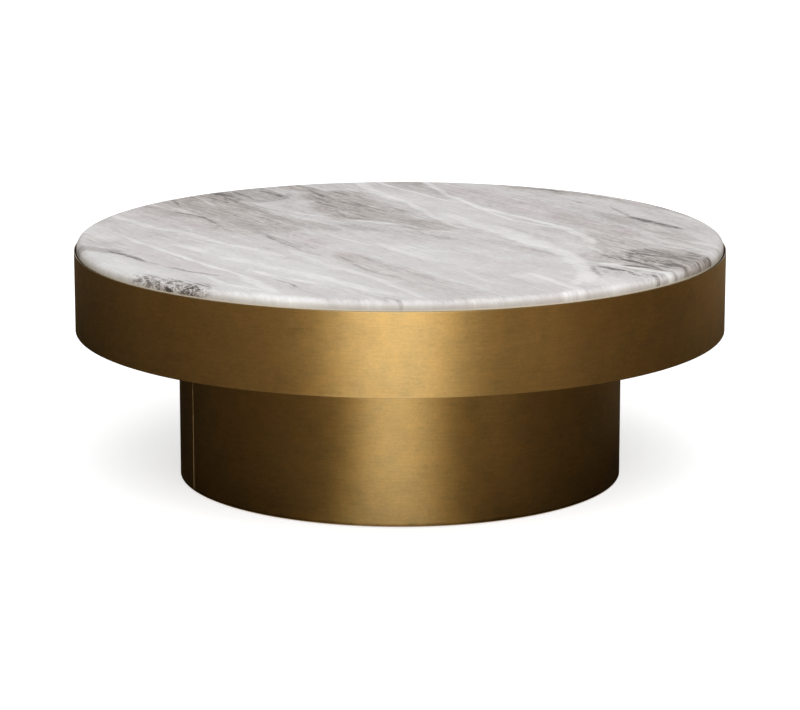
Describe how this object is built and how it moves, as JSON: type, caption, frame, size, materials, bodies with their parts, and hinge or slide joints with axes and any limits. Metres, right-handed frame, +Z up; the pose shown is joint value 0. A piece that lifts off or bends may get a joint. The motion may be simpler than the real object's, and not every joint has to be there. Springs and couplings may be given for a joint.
{
  "type": "round cocktail table",
  "caption": "Low round cocktail table: a round-edged marble slab set in a deep brass-clad drum, carried on a narrower brass-clad plinth with levelling feet.",
  "frame": {"origin": "on the floor under the middle of the table", "axes": "+Z up, -Y to the front, where the plinth's brass seam is on the viewer's left"},
  "size_m": [1.2, 1.2, 0.446],
  "materials": {
    "marble": "honed, streaked grey and taupe on white",
    "silicone": "soft, translucent",
    "aged_brass": "brushed, aged to a warm brown",
    "plywood": "bare birch, edges with plies",
    "zinc_steel": "zinc plated",
    "nylon": "matt, moulded"
  },
  "bodies": {
    "table": {"stone_setting_pads": "silicone", "drum_band": "aged_brass", "plinth_wrap": "aged_brass", "drum_wall": "plywood", "drum_subtop": "plywood", "drum_base_panel": "plywood", "drum_rib_x_1": "plywood", "drum_rib_x_2": "plywood", "drum_rib_x_3": "plywood", "drum_rib_y_1": "plywood", "drum_rib_y_2": "plywood", "drum_rib_y_3": "plywood", "plinth_wall": "plywood", "plinth_top_panel": "plywood", "plinth_base_panel": "plywood", "plinth_cross_panel_x": "plywood", "plinth_cross_panel_y": "plywood", "subtop_screws": "zinc_steel", "drum_base_screws": "zinc_steel", "plinth_top_screws": "zinc_steel", "plinth_base_screws": "zinc_steel", "joining_bolts": "zinc_steel", "joining_washers": "zinc_steel", "joining_tee_nuts": "zinc_steel", "leveller_tee_nuts": "zinc_steel"},
    "stone": {"stone_top": "marble"},
    "foot_1": {"leveller_pad_1": "nylon"},
    "foot_stem_1": {"leveller_stem_1": "zinc_steel"},
    "foot_2": {"leveller_pad_2": "nylon"},
    "foot_stem_2": {"leveller_stem_2": "zinc_steel"},
    "foot_3": {"leveller_pad_3": "nylon"},
    "foot_stem_3": {"leveller_stem_3": "zinc_steel"},
    "foot_4": {"leveller_pad_4": "nylon"},
    "foot_stem_4": {"leveller_stem_4": "zinc_steel"}
  },
  "joints": [
    {"name": "stone_lift", "type": "slide", "parent": "table", "child": "stone", "axis": [0, 0, 1], "range_m": [0, 0.1]},
    {"name": "leveller_1_height", "type": "slide", "parent": "table", "child": "foot_1", "axis": [0, 0, -1], "range_m": [0, 0.01]},
    {"name": "leveller_1_turn", "type": "hinge", "parent": "foot_1", "child": "foot_stem_1", "pos_m": [0.22917, 0.22917, 0.012], "axis": [0, 0, -1], "range_deg": [0, 2880]},
    {"name": "leveller_2_height", "type": "slide", "parent": "table", "child": "foot_2", "axis": [0, 0, -1], "range_m": [0, 0.01]},
    {"name": "leveller_2_turn", "type": "hinge", "parent": "foot_2", "child": "foot_stem_2", "pos_m": [-0.22917, 0.22917, 0.012], "axis": [0, 0, -1], "range_deg": [0, 2880]},
    {"name": "leveller_3_height", "type": "slide", "parent": "table", "child": "foot_3", "axis": [0, 0, -1], "range_m": [0, 0.01]},
    {"name": "leveller_3_turn", "type": "hinge", "parent": "foot_3", "child": "foot_stem_3", "pos_m": [-0.22917, -0.22917, 0.012], "axis": [0, 0, -1], "range_deg": [0, 2880]},
    {"name": "leveller_4_height", "type": "slide", "parent": "table", "child": "foot_4", "axis": [0, 0, -1], "range_m": [0, 0.01]},
    {"name": "leveller_4_turn", "type": "hinge", "parent": "foot_4", "child": "foot_stem_4", "pos_m": [0.22917, -0.22917, 0.012], "axis": [0, 0, -1], "range_deg": [0, 2880]}
  ],
  "couplings": [
    {"joint": "leveller_1_turn", "follows": "leveller_1_height", "rad_per_m": 5026.5},
    {"joint": "leveller_2_turn", "follows": "leveller_2_height", "rad_per_m": 5026.5},
    {"joint": "leveller_3_turn", "follows": "leveller_3_height", "rad_per_m": 5026.5},
    {"joint": "leveller_4_turn", "follows": "leveller_4_height", "rad_per_m": 5026.5}
  ]
}
